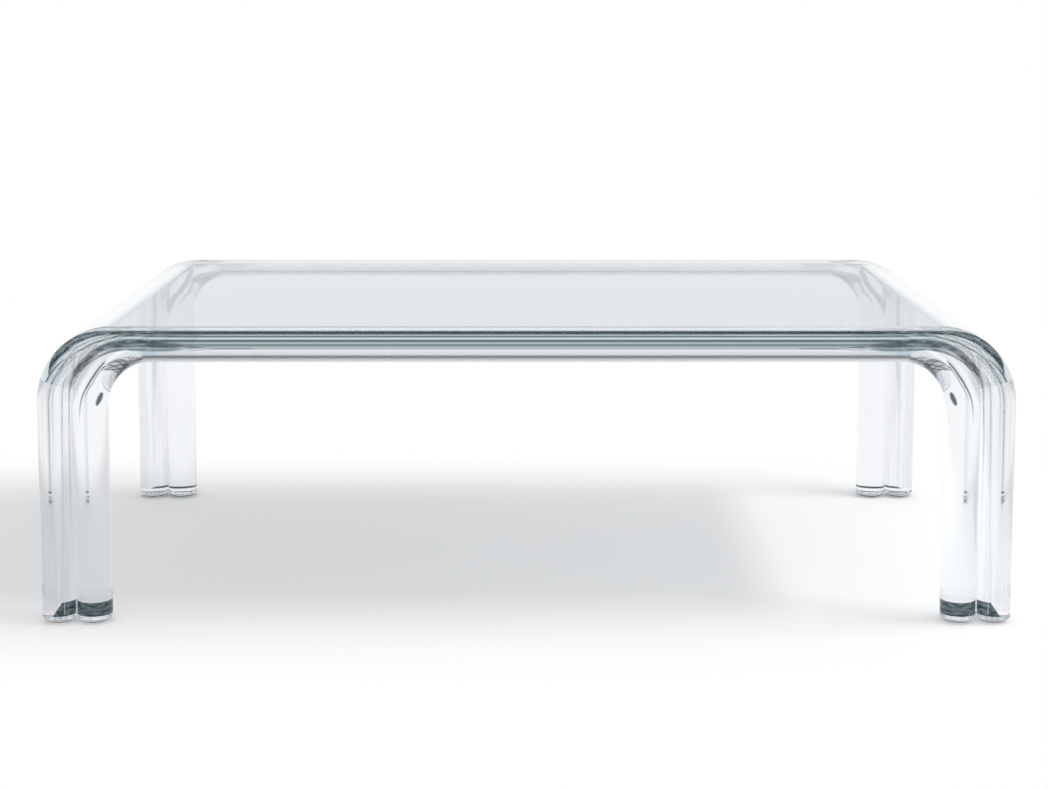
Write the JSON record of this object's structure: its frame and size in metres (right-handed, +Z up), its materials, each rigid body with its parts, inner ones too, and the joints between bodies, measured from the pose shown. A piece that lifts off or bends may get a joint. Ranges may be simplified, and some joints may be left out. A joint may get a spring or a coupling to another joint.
{
  "type": "waterfall coffee table",
  "caption": "Clear waterfall coffee table: a thick bent sheet let in flush between two bent round-rod hoops, with an inner rod beside each corner leg.",
  "frame": {"origin": "on the floor under the middle of the top", "axes": "+X along the table to the right seen from the front, +Y to the back, +Z up"},
  "size_m": [1.3, 0.7, 0.4],
  "materials": {
    "clear_body": "polished, water clear with a faint blue-grey edge",
    "pad": "clear soft pad, slightly hazy"
  },
  "bodies": {
    "root": {"top_sheet": "clear_body", "front_hoop": "clear_body", "back_hoop": "clear_body", "front_left_inner_leg": "clear_body", "front_right_inner_leg": "clear_body", "back_left_inner_leg": "clear_body", "back_right_inner_leg": "clear_body", "front_left_outer_pad": "pad", "front_left_inner_pad": "pad", "front_right_outer_pad": "pad", "front_right_inner_pad": "pad", "back_left_outer_pad": "pad", "back_left_inner_pad": "pad", "back_right_outer_pad": "pad", "back_right_inner_pad": "pad"}
  },
  "joints": []
}
